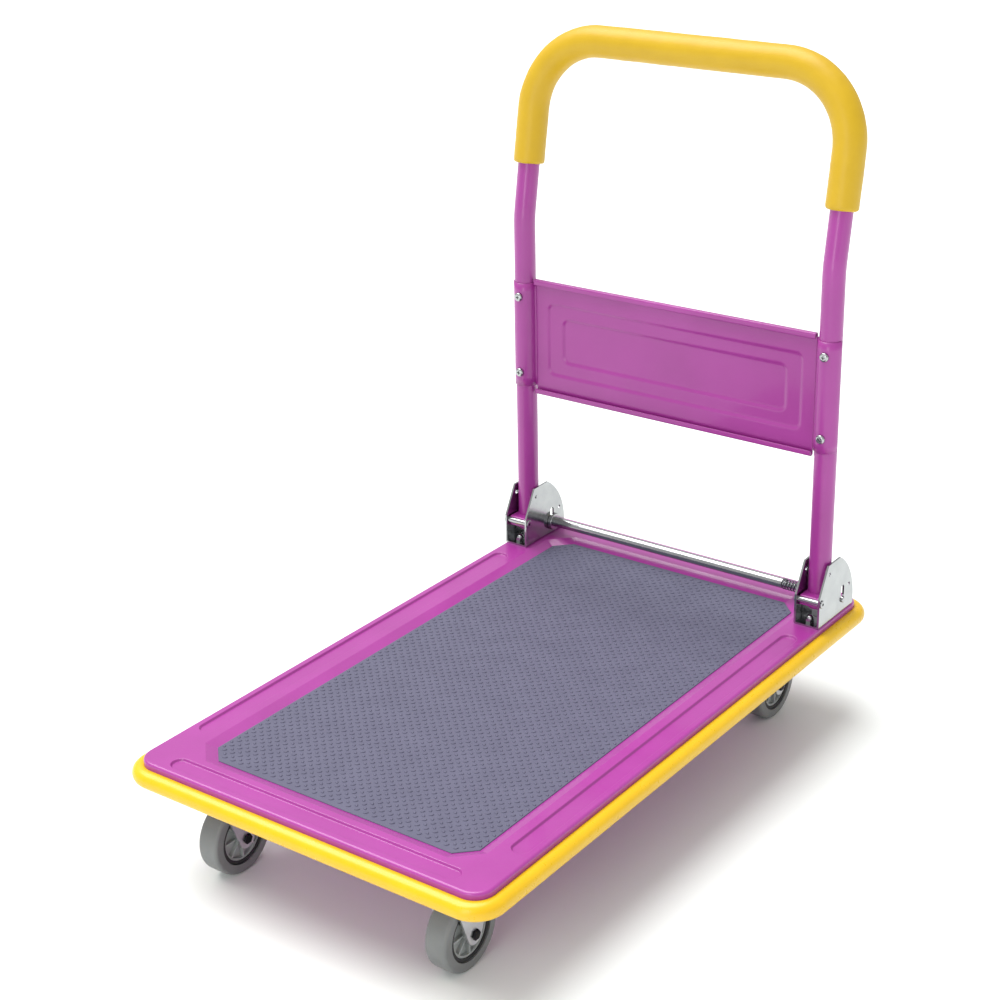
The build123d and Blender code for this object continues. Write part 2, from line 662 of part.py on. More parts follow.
with BuildPart() as bracket_cap_nuts:
    with BuildSketch(Plane.XY.offset(BRACKET_BASE_TOP)):
        with Locations(*bracket_bolt_places):
            RegularPolygon(M6_FLATS / 2, 6, major_radius=False)
    extrude(amount=NUT_HEIGHT)
    with BuildSketch(Plane.XY.offset(BRACKET_BASE_TOP)):
        with Locations(*bracket_bolt_places):
            Circle(CAP_RADIUS)
    extrude(amount=CAP_HEIGHT)
    fillet(bracket_cap_nuts.faces().filter_by(Axis.Z).group_by(Axis.Z)[-1].edges(), CAP_ROUND)
    with BuildSketch(Plane.XY.offset(BRACKET_BASE_TOP)):
        with Locations(*bracket_bolt_places):
            Circle(M6_RADIUS)
    extrude(amount=NUT_HEIGHT, mode=Mode.SUBTRACT)
save(bracket_cap_nuts.part, "bracket_cap_nuts")

# Handle tube: one bent U of steel tube
screw_places = [(side * TUBE_X, z) for side in SIDES.values() for z in SCREW_HEIGHTS]
with BuildPart() as handle_tube:
    with BuildLine() as handle_line:
        FilletPolyline(
            (-TUBE_X, TUBE_Y, TUBE_FOOT),
            (-TUBE_X, TUBE_Y, LEAN_BEND_Z),
            (-TUBE_X, BAR_Y, BAR_Z),
            (TUBE_X, BAR_Y, BAR_Z),
            (TUBE_X, TUBE_Y, LEAN_BEND_Z),
            (TUBE_X, TUBE_Y, TUBE_FOOT),
            radius=[LEAN_BEND_RADIUS, HANDLE_CORNER, HANDLE_CORNER, LEAN_BEND_RADIUS],
        )
    with BuildSketch(Plane(origin=handle_line.line @ 0, z_dir=handle_line.line % 0)):
        Circle(TUBE_RADIUS)
        Circle(TUBE_RADIUS - TUBE_WALL, mode=Mode.SUBTRACT)
    sweep(path=handle_line.line)
    with BuildSketch(Plane.XZ.offset(-TUBE_Y)):
        with Locations(*screw_places):
            Circle(SCREW_RADIUS)
    extrude(amount=2 * TUBE_RADIUS, mode=Mode.SUBTRACT)
save(handle_tube.part, "handle_tube")

# Grip: foam sleeve over the top of the handle
with BuildPart() as handle_grip:
    with BuildLine() as grip_line:
        FilletPolyline(
            (-TUBE_X, GRIP_END_Y, GRIP_END_Z),
            (-TUBE_X, BAR_Y, BAR_Z),
            (TUBE_X, BAR_Y, BAR_Z),
            (TUBE_X, GRIP_END_Y, GRIP_END_Z),
            radius=HANDLE_CORNER,
        )
    with BuildSketch(Plane(origin=grip_line.line @ 0, z_dir=grip_line.line % 0)):
        Circle(GRIP_RADIUS)
        Circle(TUBE_RADIUS + GRIP_CLEARANCE, mode=Mode.SUBTRACT)
    sweep(path=grip_line.line)
    mouths = handle_grip.faces().filter_by(GeomType.PLANE).edges()
    fillet(mouths.filter_by(lambda edge: edge.radius > (GRIP_RADIUS + TUBE_RADIUS) / 2), GRIP_EDGE)
save(handle_grip.part, "handle_grip")

# Back panel: pressed sheet whose ends wrap round the front of the tubes
back_face = Plane.XZ.offset(-(TUBE_Y + PANEL_SHEET / 2))
front_face = Plane.XZ.offset(-(TUBE_Y - PANEL_SHEET / 2))
with BuildPart() as back_panel:
    with BuildSketch(back_face):
        with Locations((0, (PANEL_TOP + PANEL_BOTTOM) / 2)):
            Rectangle(2 * PANEL_HEM_X, PANEL_TOP - PANEL_BOTTOM)
        with Locations((0, (WRAP_TOP + WRAP_BOTTOM) / 2)):
            Rectangle(2 * (TUBE_X - WRAP_RADIUS), WRAP_TOP - WRAP_BOTTOM)
    extrude(amount=PANEL_SHEET)
    for low, high, lip_low in (
        (PANEL_BOTTOM, PANEL_BOTTOM + PANEL_SHEET, PANEL_BOTTOM),
        (PANEL_TOP - PANEL_SHEET, PANEL_TOP, PANEL_TOP - PANEL_HEM_LIP),
    ):
        with BuildSketch(front_face):
            with Locations((0, (low + high) / 2)):
                Rectangle(2 * PANEL_HEM_X, high - low)
        extrude(amount=PANEL_HEM_REACH)
        with BuildSketch(front_face.offset(PANEL_HEM_REACH)):
            with Locations((0, lip_low + PANEL_HEM_LIP / 2)):
                Rectangle(2 * PANEL_HEM_X, PANEL_HEM_LIP)
        extrude(amount=-PANEL_SHEET)
    rails = back_panel.edges().filter_by(Axis.X).filter_by(lambda edge: edge.length > PANEL_HEM_X)
    fillet(rails.group_by(Axis.Z)[0] + rails.group_by(Axis.Z)[-1], HEM_BEND)
    with BuildSketch(Plane.XY.offset(WRAP_BOTTOM)):
        with Locations((-TUBE_X, TUBE_Y), (TUBE_X, TUBE_Y)):
            Circle(WRAP_RADIUS + PANEL_SHEET)
            Circle(WRAP_RADIUS, mode=Mode.SUBTRACT)
        with Locations((0, TUBE_Y + PANEL_SHEET / 2 + TUBE_X)):
            Rectangle(4 * TUBE_X, 2 * TUBE_X, mode=Mode.SUBTRACT)
    extrude(amount=WRAP_TOP - WRAP_BOTTOM)
    for (width, height), step in ((EMBOSS_OUTER, 1), (EMBOSS_INNER, 2)):
        with BuildSketch(back_face):
            with Locations((0, EMBOSS_Z)):
                RectangleRounded(width, height, EMBOSS_CORNER)
        extrude(amount=-EMBOSS_STEP * step, taper=EMBOSS_TAPER)
    for (width, height), step in ((EMBOSS_OUTER, 1), (EMBOSS_INNER, 2)):
        with BuildSketch(front_face):
            with Locations((0, EMBOSS_Z)):
                RectangleRounded(width, height, EMBOSS_CORNER)
        extrude(amount=-EMBOSS_STEP * step, taper=EMBOSS_TAPER, mode=Mode.SUBTRACT)
    with BuildSketch(front_face):
        with Locations(*screw_places):
            Circle(SCREW_RADIUS)
    extrude(amount=2 * TUBE_RADIUS, mode=Mode.SUBTRACT)
save(back_panel.part, "back_panel")

# Pan-head screws that hold the panel to the tubes
screw_plane = Plane.XZ.offset(-(TUBE_Y - WRAP_RADIUS - PANEL_SHEET))
with BuildPart() as panel_screws:
    with BuildSketch(screw_plane):
        with Locations(*screw_places):
            Circle(SCREW_RADIUS)
    extrude(amount=-SCREW_LENGTH)
    with BuildSketch(screw_plane):
        with Locations(*screw_places):
            Circle(SCREW_HEAD_RADIUS)
    extrude(amount=SCREW_HEAD_HEIGHT)
    heads = panel_screws.faces().filter_by(Axis.Y).group_by(Axis.Y)[0]
    fillet(heads.edges(), SCREW_HEAD_ROUND)
    with BuildSketch(screw_plane.offset(SCREW_HEAD_HEIGHT)):
        with Locations(*screw_places):
            Rectangle(SCREW_RADIUS * 2, SCREW_SLOT)
            Rectangle(SCREW_SLOT, SCREW_RADIUS * 2)
    extrude(amount=-SCREW_SLOT_DEPTH, mode=Mode.SUBTRACT)
save(panel_screws.part, "panel_screws")

# Pivot: painted saddle on the tube, bright sleeve in front of it, hollow rivet in the bracket
pivot_at = (PIVOT_Y, PIVOT_Z)
for name, side_x in SIDES.items():
    middle = Plane(origin=(side_x * TUBE_X, 0, 0), x_dir=(0, 1, 0), z_dir=(1, 0, 0))
    with BuildPart() as sleeve:
        with BuildSketch(middle):
            with Locations(pivot_at):
                Circle(SLEEVE_RADIUS)
                Circle(PIVOT_PIN_RADIUS + RUNNING_FIT, mode=Mode.SUBTRACT)
        extrude(amount=BRACKET_GAP / 2 - SIDE_PLAY, both=True)
    save(sleeve.part, f"pivot_sleeve_{name}")
    with BuildPart() as saddle:
        with BuildSketch(middle):
            with Locations(((PIVOT_Y + TUBE_Y) / 2, PIVOT_Z + (SADDLE_ABOVE - SADDLE_BELOW) / 2)):
                Rectangle(TUBE_Y - PIVOT_Y, SADDLE_ABOVE + SADDLE_BELOW)
        extrude(amount=SADDLE_WIDTH / 2, both=True)
        fillet(saddle.edges().filter_by(Axis.X).group_by(Axis.Y)[0], SADDLE_EDGE)
        with BuildSketch(middle):
            with Locations(pivot_at):
                Circle(SLEEVE_RADIUS)
        extrude(amount=SADDLE_WIDTH, both=True, mode=Mode.SUBTRACT)
        with BuildSketch(Plane.XY.offset(PIVOT_Z)):
            with Locations((side_x * TUBE_X, TUBE_Y)):
                Circle(TUBE_RADIUS)
        extrude(amount=SADDLE_ABOVE + SADDLE_BELOW, both=True, mode=Mode.SUBTRACT)
    save(saddle.part, f"pivot_saddle_{name}")

with BuildPart() as pivot_rivets:
    for side_x in SIDES.values():
        middle = Plane(origin=(side_x * TUBE_X, 0, 0), x_dir=(0, 1, 0), z_dir=(1, 0, 0))
        with BuildSketch(middle):
            with Locations(pivot_at):
                Circle(PIVOT_PIN_RADIUS)
        extrude(amount=BRACKET_WIDTH / 2 + PIVOT_HEAD_HEIGHT, both=True)
        for end in (-1, 1):
            with BuildSketch(middle.offset(end * BRACKET_WIDTH / 2)):
                with Locations(pivot_at):
                    Circle(PIVOT_HEAD_RADIUS)
            extrude(amount=end * PIVOT_HEAD_HEIGHT)
        with BuildSketch(middle):
            with Locations(pivot_at):
                Circle(PIVOT_PIN_BORE)
        extrude(amount=BRACKET_WIDTH, both=True, mode=Mode.SUBTRACT)
    outer_rims = pivot_rivets.edges().filter_by(GeomType.CIRCLE).group_by(SortBy.RADIUS)[-1]
    fillet(outer_rims, PIVOT_HEAD_EDGE)
save(pivot_rivets.part, "pivot_rivets")

# Tube feet: a plug in each tube's end with a tongue that stands on the bracket's base
with BuildPart() as tube_feet:
    for side_x in SIDES.values():
        with BuildSketch(Plane.XY.offset(TUBE_FOOT)):
            with Locations((side_x * TUBE_X, TUBE_Y)):
                Circle(TUBE_RADIUS - TUBE_WALL)
        extrude(amount=FOOT_PLUG_LENGTH)
        with BuildSketch(Plane.XY.offset(TUBE_FOOT)):
            with Locations((side_x * TUBE_X, TUBE_Y)):
                Rectangle(FOOT_TONGUE_WIDTH, FOOT_TONGUE_DEPTH)
        extrude(amount=BRACKET_BASE_TOP + STOP_GAP - TUBE_FOOT)
save(tube_feet.part, "tube_feet")

# Release rod, with its collar, coil spring and washer
left_plate_inner = -TUBE_X + BRACKET_WIDTH / 2
right_plate_inner = TUBE_X - BRACKET_WIDTH / 2
rod_start = left_plate_inner + COLLAR_GAP
washer_end = right_plate_inner - COLLAR_GAP
shoulder_x = washer_end - WASHER_THICKNESS - SPRING_LENGTH
rod_end = TUBE_X + BRACKET_WIDTH / 2 + ROD_PROTRUSION
rod_plane = Plane(origin=(0, ROD_Y, ROD_Z), x_dir=(0, 1, 0), z_dir=(1, 0, 0))
with BuildPart() as release_rod:
    with BuildSketch(rod_plane.offset(-rod_end)):
        Circle(ROD_NECK_RADIUS)
    extrude(amount=2 * rod_end)
    with BuildSketch(rod_plane.offset(rod_start)):
        Circle(ROD_RADIUS)
    extrude(amount=shoulder_x - rod_start)
    ends = release_rod.faces().filter_by(Axis.X).group_by(Axis.X)
    fillet(ends[0].edges() + ends[-1].edges(), HEAD_EDGE)
save(release_rod.part, "release_rod")

with BuildPart() as rod_collar:
    with BuildSketch(rod_plane.offset(rod_start)):
        Circle(COLLAR_RADIUS)
        Circle(ROD_RADIUS, mode=Mode.SUBTRACT)
    extrude(amount=COLLAR_WIDTH)
    fillet(rod_collar.edges().filter_by(GeomType.CIRCLE).group_by(SortBy.RADIUS)[-1], HEAD_EDGE)
save(rod_collar.part, "rod_collar")

with BuildPart() as rod_washer:
    with BuildSketch(rod_plane.offset(washer_end - WASHER_THICKNESS)):
        Circle(WASHER_RADIUS)
        Circle(ROD_NECK_RADIUS + RUNNING_FIT, mode=Mode.SUBTRACT)
    extrude(amount=WASHER_THICKNESS)
save(rod_washer.part, "rod_washer")

coil_radius = ROD_RADIUS + SPRING_PROUD - SPRING_WIRE / 2
coil_length = SPRING_LENGTH - SPRING_WIRE - 2 * SPRING_SEAT
with BuildPart() as rod_spring:
    with BuildLine() as coil_line:
        Helix(
            pitch=coil_length / SPRING_COILS,
            height=coil_length,
            radius=coil_radius,
            center=(shoulder_x + SPRING_SEAT + SPRING_WIRE / 2, ROD_Y, ROD_Z),
            direction=(1, 0, 0),
        )
    with BuildSketch(Plane(origin=coil_line.line @ 0, z_dir=coil_line.line % 0)):
        Circle(SPRING_WIRE / 2)
    sweep(path=coil_line.line, is_frenet=True)
save(rod_spring.part, "rod_spring")
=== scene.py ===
# %% [markdown]
# # A folding platform cart
#
# The cart is a pressed steel platform on four wheels, with a tube handle that folds down on it.
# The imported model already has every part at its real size, so most of this lesson is about
# finishes: each steel, rubber and plastic part gets the material that it is made of. Five parts
# whose surface is too fine for a mechanical model are built again: the mat, the back panel, the
# hand grip, the release rod and its spring.

# %% Load the frame and keep its size
import math

import bmesh
import bpy
from mathutils import Matrix, Vector, noise


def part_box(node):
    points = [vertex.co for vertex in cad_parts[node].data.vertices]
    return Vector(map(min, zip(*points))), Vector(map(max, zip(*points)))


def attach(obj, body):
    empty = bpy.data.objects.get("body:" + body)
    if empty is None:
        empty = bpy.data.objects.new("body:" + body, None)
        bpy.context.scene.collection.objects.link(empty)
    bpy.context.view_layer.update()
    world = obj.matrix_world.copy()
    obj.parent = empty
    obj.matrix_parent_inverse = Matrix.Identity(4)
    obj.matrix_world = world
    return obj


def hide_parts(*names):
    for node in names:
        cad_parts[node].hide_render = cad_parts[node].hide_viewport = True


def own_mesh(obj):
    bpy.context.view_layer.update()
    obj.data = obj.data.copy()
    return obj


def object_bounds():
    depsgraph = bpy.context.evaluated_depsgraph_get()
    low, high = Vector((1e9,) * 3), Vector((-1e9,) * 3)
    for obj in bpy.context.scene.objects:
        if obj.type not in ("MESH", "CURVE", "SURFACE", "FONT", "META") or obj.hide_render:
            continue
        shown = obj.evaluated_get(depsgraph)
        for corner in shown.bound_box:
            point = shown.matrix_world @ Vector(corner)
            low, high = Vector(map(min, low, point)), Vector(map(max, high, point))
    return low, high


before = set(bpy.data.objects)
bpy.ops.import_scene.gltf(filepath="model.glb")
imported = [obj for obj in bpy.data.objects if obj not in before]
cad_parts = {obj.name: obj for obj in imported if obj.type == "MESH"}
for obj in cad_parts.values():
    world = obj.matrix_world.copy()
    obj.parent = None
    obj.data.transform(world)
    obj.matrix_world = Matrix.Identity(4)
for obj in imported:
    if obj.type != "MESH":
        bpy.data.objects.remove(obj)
cad_low, cad_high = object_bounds()
centre = (cad_low + cad_high) / 2
MM = 0.001
print("the cart measures", [round(side / MM) for side in cad_high - cad_low], "mm")

# %% [markdown]
# ## Colours and nodes
#
# A paint chart gives colours as sRGB hex values, but the renderer adds light up in linear values.
# One function turns the first into the second, so each material can be written with its chart
# colour. A second small function adds a node with its settings and links, which keeps a material
# readable: one line for each thing that the surface does.


# %% Colours, nodes and an empty material
def linear(hex_colour):
    """An sRGB hex colour, such as #ca6dbb, as linear RGBA."""
    shares = [int(hex_colour[i : i + 2], 16) / 255 for i in (1, 3, 5)]
    curved = [s / 12.92 if s <= 0.04045 else ((s + 0.055) / 1.055) ** 2.4 for s in shares]
    return curved + [1.0]


def add_node(tree, kind, values=None, links=None, stops=(), **settings):
    """Adds a node: values go on its inputs, links feed them, settings are its own properties.

    Stops are a colour ramp's: each is a place from 0 to 1 and a hex colour.
    """
    node = tree.nodes.new("ShaderNode" + kind)
    for name, value in settings.items():
        setattr(node, name, value)
    for name, value in (values or {}).items():
        node.inputs[name].default_value = value
    for name, socket in (links or {}).items():
        tree.links.new(socket, node.inputs[name])
    for index, (position, hex_colour) in enumerate(stops):
        node.color_ramp.elements[index].position = position
        node.color_ramp.elements[index].color = linear(hex_colour)
    return node


def new_material(name):
    """An empty material with its tree, and the cart's own coordinates in metres."""
    material = bpy.data.materials.new(name)
    material.use_nodes = True
    tree = material.node_tree
    tree.nodes.clear()
    return material, tree, add_node(tree, "TexCoord").outputs["Object"]


print("middle grey, #808080, is", round(linear("#808080")[0], 3), "in linear light")

# %% [markdown]
# ## One surface from three textures
#
# Every finish on the cart is one shader fed by textures: one lets the colour wander between two
# close tones, one lets the gloss wander, and one gives the relief that breaks up a highlight. The
# textures differ from finish to finish and the way that they meet the shader doesn't, so that
# part is written once. A noise texture hardly leaves the band from 0.3 to 0.7, so that band is
# what is spread over the whole range.

# %% Join textures to a shader
NOISE_BAND = (0.3, 0.7)


def join_textures(tree, tint, gloss, relief, surface):
    """Ends a material: each of the first three is a texture and two values.

    They are tint with a dark and a light hex colour, gloss with the lowest and the highest
    roughness, and relief with a depth in metres and a strength. Surface sets the shader itself.
    """
    low, high = NOISE_BAND
    colour = add_node(
        tree,
        "ValToRGB",
        links={"Fac": tint[0].outputs["Fac"]},
        stops=((low, tint[1]), (high, tint[2])),
    )
    band = {"From Min": low, "From Max": high, "To Min": gloss[1], "To Max": gloss[2]}
    roughness = add_node(tree, "MapRange", band, {"Value": gloss[0].outputs["Fac"]}, clamp=True)
    height = {"Distance": relief[1], "Strength": relief[2]}
    normal = add_node(tree, "Bump", height, {"Height": relief[0].outputs["Fac"]})
    links = {
        "Base Color": colour.outputs["Color"],
        "Roughness": roughness.outputs["Result"],
        "Normal": normal.outputs["Normal"],
    }
    shader = add_node(tree, "BsdfPrincipled", surface, links)
    add_node(tree, "OutputMaterial", links={"Surface": shader.outputs["BSDF"]})


print("a texture's band from", *NOISE_BAND, "is spread over each range")

# %% [markdown]
# ## Powder coat
#
# The deck, the handle and its panel are mild steel with a baked polyester powder coat. The powder
# melts into a plastic skin: gloss, not metallic, with the faint ripple that painters call orange
# peel. It could be a plain plastic shader, but the ripple is what breaks up the highlights on the
# tubes, so it is a noise in the normal. Real peel has lumps about 1 mm apart, finer than a
# picture of the whole cart can hold, so it is drawn at 3 mm. The coat is a little thicker here
# and there, which shows as patches of colour a hand wide and as clouds in the gloss.

# %% Powder coat
PATCH_PITCH = 90 * MM
CLOUD_PITCH = 25 * MM
PEEL_PITCH = 3 * MM
PEEL_DEPTH = 0.12 * MM

purple_powder_coat, tree, place = new_material("purple_powder_coat")
patches = add_node(tree, "TexNoise", {"Scale": 1 / PATCH_PITCH, "Detail": 3.0}, {"Vector": place})
clouds = add_node(tree, "TexNoise", {"Scale": 1 / CLOUD_PITCH, "Detail": 4.0}, {"Vector": place})
peel = add_node(tree, "TexNoise", {"Scale": 1 / PEEL_PITCH, "Detail": 2.0}, {"Vector": place})
join_textures(
    tree,
    (patches, "#962d87", "#9e318f"),
    (clouds, 0.34, 0.42),
    (peel, PEEL_DEPTH, 0.5),
    {"IOR": 1.5, "Coat Weight": 0.35, "Coat Roughness": 0.08},
)
print("the powder coat has", len(tree.nodes), "nodes")

# %% [markdown]
# ## Plated steel
#
# The hinge plates are bright nickel-chrome, the forks, bolts and bearings are zinc. Both are metal
# on metal, so all of their colour is reflection: a metallic shader whose base is the plating's
# own tint. Chrome is smooth and shows the paint beside it; zinc scatters more, and rolled sheet
# keeps faint lines from the mill, drawn here 1.5 mm apart although real ones are hair fine. The
# lines run upwards, because the noise is drawn out along that axis. The coil spring is drawn wire
# without such lines, and the axle bolts are blackened in a hot salt bath instead of plated.

# %% Plated and oxidised steel
STAIN_PITCH = 22 * MM
MILL_PITCH = 1.5 * MM
MILL_DRAWN_OUT = (1, 1, 0.12)
MILL_DEPTH = 0.02 * MM


def plated_steel(name, dark, light, gloss, depth=MILL_DEPTH):
    """Steel with a metal skin: gloss is its range of roughness, depth that of the mill's lines."""
    material, tree, place = new_material(name)
    here = {"Vector": place}
    stains = add_node(tree, "TexNoise", {"Scale": 1 / STAIN_PITCH, "Detail": 4.0}, here)
    drawn = add_node(tree, "Mapping", {"Scale": MILL_DRAWN_OUT}, here)
    drawn_out = {"Vector": drawn.outputs["Vector"]}
    lines = add_node(tree, "TexNoise", {"Scale": 1 / MILL_PITCH, "Detail": 3.0}, drawn_out)
    relief = (lines, depth, 0.4)
    join_textures(tree, (stains, dark, light), (lines, *gloss), relief, {"Metallic": 1.0})
    return material


bright_chrome_plate = plated_steel("bright_chrome_plate", "#a2a3a5", "#aeafb0", (0.12, 0.22))
zinc_plate = plated_steel("zinc_plate", "#cfd1d3", "#dcdddf", (0.34, 0.46))
spring_steel = plated_steel("plated_spring_steel", "#6f7175", "#83858a", (0.22, 0.32), depth=0)
black_oxide = plated_steel("black_oxide_steel", "#1b1b1d", "#2a2a2c", (0.32, 0.48))
print("four steels, from", bright_chrome_plate.name, "to", black_oxide.name)

# %% [markdown]
# ## Rubber and plastics
#
# None of these is a metal, so each starts at an IOR of about 1.5 and differs in how it was made.
# The tyres are thermoplastic rubber, moulded with a fine spark texture that leaves them a dull
# satin. The hubs are polypropylene, a little waxy. The rings between them are black nylon. The
# mat is pressed rubber, the dullest of all. The bumper is soft PVC, pushed out as a strip while
# hot, so it is smooth, with shallow waves about 6 mm apart. The hand grip is a foam sleeve with a
# closed skin, softer in its highlight. A spark texture has pits of about a tenth of a millimetre,
# which wouldn't show, so it is drawn at 2.5 mm, and the foam's cells at 2 mm for the same reason.

# %% Rubber and plastics
TONE_PITCH = 30 * MM
SPARK_PITCH = 2.5 * MM
WAVE_PITCH = 6 * MM
CELL_PITCH = 2 * MM


def moulded(name, dark, light, gloss, depth, pitch=SPARK_PITCH):
    """A moulded or extruded skin: gloss is its range of roughness, depth that of its texture."""
    material, tree, place = new_material(name)
    here = {"Vector": place}
    tones = add_node(tree, "TexNoise", {"Scale": 1 / TONE_PITCH, "Detail": 4.0}, here)
    crisp = {"Scale": 1 / pitch, "Detail": 3.0, "Roughness": 0.6}
    texture = add_node(tree, "TexNoise", crisp, here)
    relief = (texture, depth, 0.5)
    join_textures(tree, (tones, dark, light), (texture, *gloss), relief, {"IOR": 1.5})
    return material


tyre_rubber = moulded("grey_tyre_rubber", "#6f7171", "#787a7a", (0.40, 0.52), 0.10 * MM)
hub_plastic = moulded("grey_polypropylene", "#989c9b", "#a1a5a4", (0.38, 0.5), 0.05 * MM)
ring_nylon = moulded("black_nylon", "#19191b", "#212123", (0.4, 0.55), 0.05 * MM)
bumper_pvc = moulded(
    "yellow_soft_pvc", "#d8ac02", "#deb204", (0.26, 0.36), 0.02 * MM, pitch=WAVE_PITCH
)
grip_foam = moulded(
    "yellow_grip_foam", "#c29c04", "#c8a208", (0.40, 0.52), 0.12 * MM, pitch=CELL_PITCH
)
mat_rubber = moulded("ribbed_mat_rubber", "#504f64", "#56556a", (0.55, 0.68), 0.08 * MM)
print("six rubbers and plastics, from", tyre_rubber.name, "to", mat_rubber.name)

# %% [markdown]
# ## Dressing the parts
#
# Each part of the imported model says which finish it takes, by the name of its material slot. A
# table from those names to the materials dresses all of them at once, and nothing is repainted by
# hand.

# %% Dress every part by its slot
finishes = {
    "purple_paint": purple_powder_coat,
    "mat_rubber": mat_rubber,
    "yellow_pvc": bumper_pvc,
    "yellow_grip": grip_foam,
    "bright_plate": bright_chrome_plate,
    "zinc_plate": zinc_plate,
    "spring_steel": spring_steel,
    "black_steel": black_oxide,
    "grey_tyre": tyre_rubber,
    "black_plastic": ring_nylon,
    "grey_plastic": hub_plastic,
}
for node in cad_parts.values():
    for holder in node.material_slots:
        holder.material = finishes[holder.material.name]
print("dressed", len(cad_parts), "parts in", len(finishes), "finishes")

# %% [markdown]
# ## Meshes from rings and rows
#
# The pieces that are built here are all made of two simple things: closed rings of corners joined
# one above the other, and rows of corners laid side by side as a grid. Modelling them by hand
# would give the same faces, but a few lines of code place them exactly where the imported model's
# boxes say.


# %% Helpers for meshes
def join_rings(mesh, lower, upper):
    """Quads between two closed rings with the same number of corners."""
    for i in range(len(lower)):
        j = (i + 1) % len(lower)
        mesh.faces.new((lower[i], lower[j], upper[j], upper[i]))


def fill_grid(mesh, rows):
    """Quads between rows of places."""
    made = [[mesh.verts.new(p) for p in row] for row in rows]
    for lower, upper in zip(made, made[1:]):
        for i in range(len(lower) - 1):
            mesh.faces.new((lower[i], lower[i + 1], upper[i + 1], upper[i]))


def mesh_data(mesh, name):
    """Ends the editing of a mesh."""
    data = bpy.data.meshes.new(name)
    mesh.to_mesh(data)
    mesh.free()
    return data


def add_piece(name, data, material):
    """Puts a mesh in the scene with its material."""
    piece = bpy.data.objects.new(name, data)
    bpy.context.collection.objects.link(piece)
    data.materials.append(material)
    return piece


print("the helpers join rings, fill a grid and put a piece in the scene")

# %% [markdown]
# ## The mat
#
# The mat is a rubber sheet pressed in a mould, with small raised bars that stop a load from
# sliding. The bars stand in the pattern of checker plate: one every 12 mm along both edges, a
# second set in the gaps between them, and each set turned across the other. A bump map could
# suggest them, but they catch the light from low down, so they are real: one bar is a pointed
# oval with a flat top, and a loop lays it wherever it fits inside the mat's outline, which is a
# rectangle with its corners cut off.

# %% Measure the mat
mat_low, mat_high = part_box("deck_mat")
mat_points = [v.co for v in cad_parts["deck_mat"].data.vertices]
side_end = max(p.y for p in mat_points if p.x > mat_high.x - MM)
corner_cut = mat_high.y - side_end
print("the mat's corners are cut by", round(corner_cut / MM, 1), "mm")

# %% One raised bar
BAR_LENGTH = 6.4 * MM
BAR_WIDTH = 3.8 * MM
BAR_HEIGHT = 1.0 * MM
BAR_SIDES = 12
BAR_POINT = 0.4  # 0 is a plain oval, and more makes its ends more pointed
BAR_STEPS = ((1.0, -0.1), (0.8, 0.8), (0.55, 1.0))  # shares of the outline and of the height

mat_top = mat_high.z - BAR_HEIGHT


def add_ring(mesh, points, z):
    """A level ring of corners."""
    return [mesh.verts.new((x, y, z)) for x, y in points]


def bar_ring(share):
    """The bar's outline, a pointed oval, at a share of its full size."""
    ring = []
    for i in range(BAR_SIDES):
        angle = 2 * math.pi * i / BAR_SIDES
        across = math.sin(angle) * abs(math.sin(angle)) ** BAR_POINT
        ring.append((share * BAR_LENGTH / 2 * math.cos(angle), share * BAR_WIDTH / 2 * across))
    return ring


def add_bar(mesh, x, y, degrees):
    """A bar at a place on the mat, turned by degrees, with its foot sunk in the rubber."""
    turn = Matrix.Rotation(math.radians(degrees), 2)
    rings = []
    for share, rise in BAR_STEPS:
        outline = [turn @ Vector(p) for p in bar_ring(share)]
        height = mat_top + rise * BAR_HEIGHT
        rings.append(add_ring(mesh, [(x + p.x, y + p.y) for p in outline], height))
    join_rings(mesh, rings[0], rings[1])
    join_rings(mesh, rings[1], rings[2])
    mesh.faces.new(rings[2])
    mesh.faces.new(rings[0][::-1])


print("a bar is", round(BAR_LENGTH / MM, 1), "mm long and", round(BAR_HEIGHT / MM, 1), "mm high")

# %% The sheet under the bars
MAT_EDGE = 0.5 * MM


def mat_outline(inset):
    """The mat's eight corners, drawn in from its edge by inset."""
    x, y0, y1 = mat_high.x - inset, mat_low.y + inset, mat_high.y - inset
    cut = corner_cut - inset * (2 - math.sqrt(2))
    return [
        (x - cut, y0), (x, y0 + cut), (x, y1 - cut), (x - cut, y1),
        (cut - x, y1), (-x, y1 - cut), (-x, y0 + cut), (cut - x, y0),
    ]


def fits_on_mat(x, y, margin):
    """True where a bar's centre is at least margin inside every edge of the mat."""
    side = mat_high.x - abs(x)
    end = min(mat_high.y - y, y - mat_low.y)
    return min(side, end) > margin and side + end > corner_cut + margin * math.sqrt(2)


mat_mesh = bmesh.new()
mat_rings = [
    add_ring(mat_mesh, mat_outline(0), mat_low.z),
    add_ring(mat_mesh, mat_outline(0), mat_top - MAT_EDGE),
    add_ring(mat_mesh, mat_outline(MAT_EDGE), mat_top),
]
mat_mesh.faces.new(mat_rings[0][::-1])
join_rings(mat_mesh, mat_rings[0], mat_rings[1])
join_rings(mat_mesh, mat_rings[1], mat_rings[2])
mat_mesh.faces.new(mat_rings[2])
print("the sheet is", round((mat_top - mat_low.z) / MM, 1), "mm thick under the bars")

# %% Lay the bars
BAR_PITCH = 12 * MM
BAR_TURN = 45
BAR_MARGIN = 0.6 * BAR_LENGTH

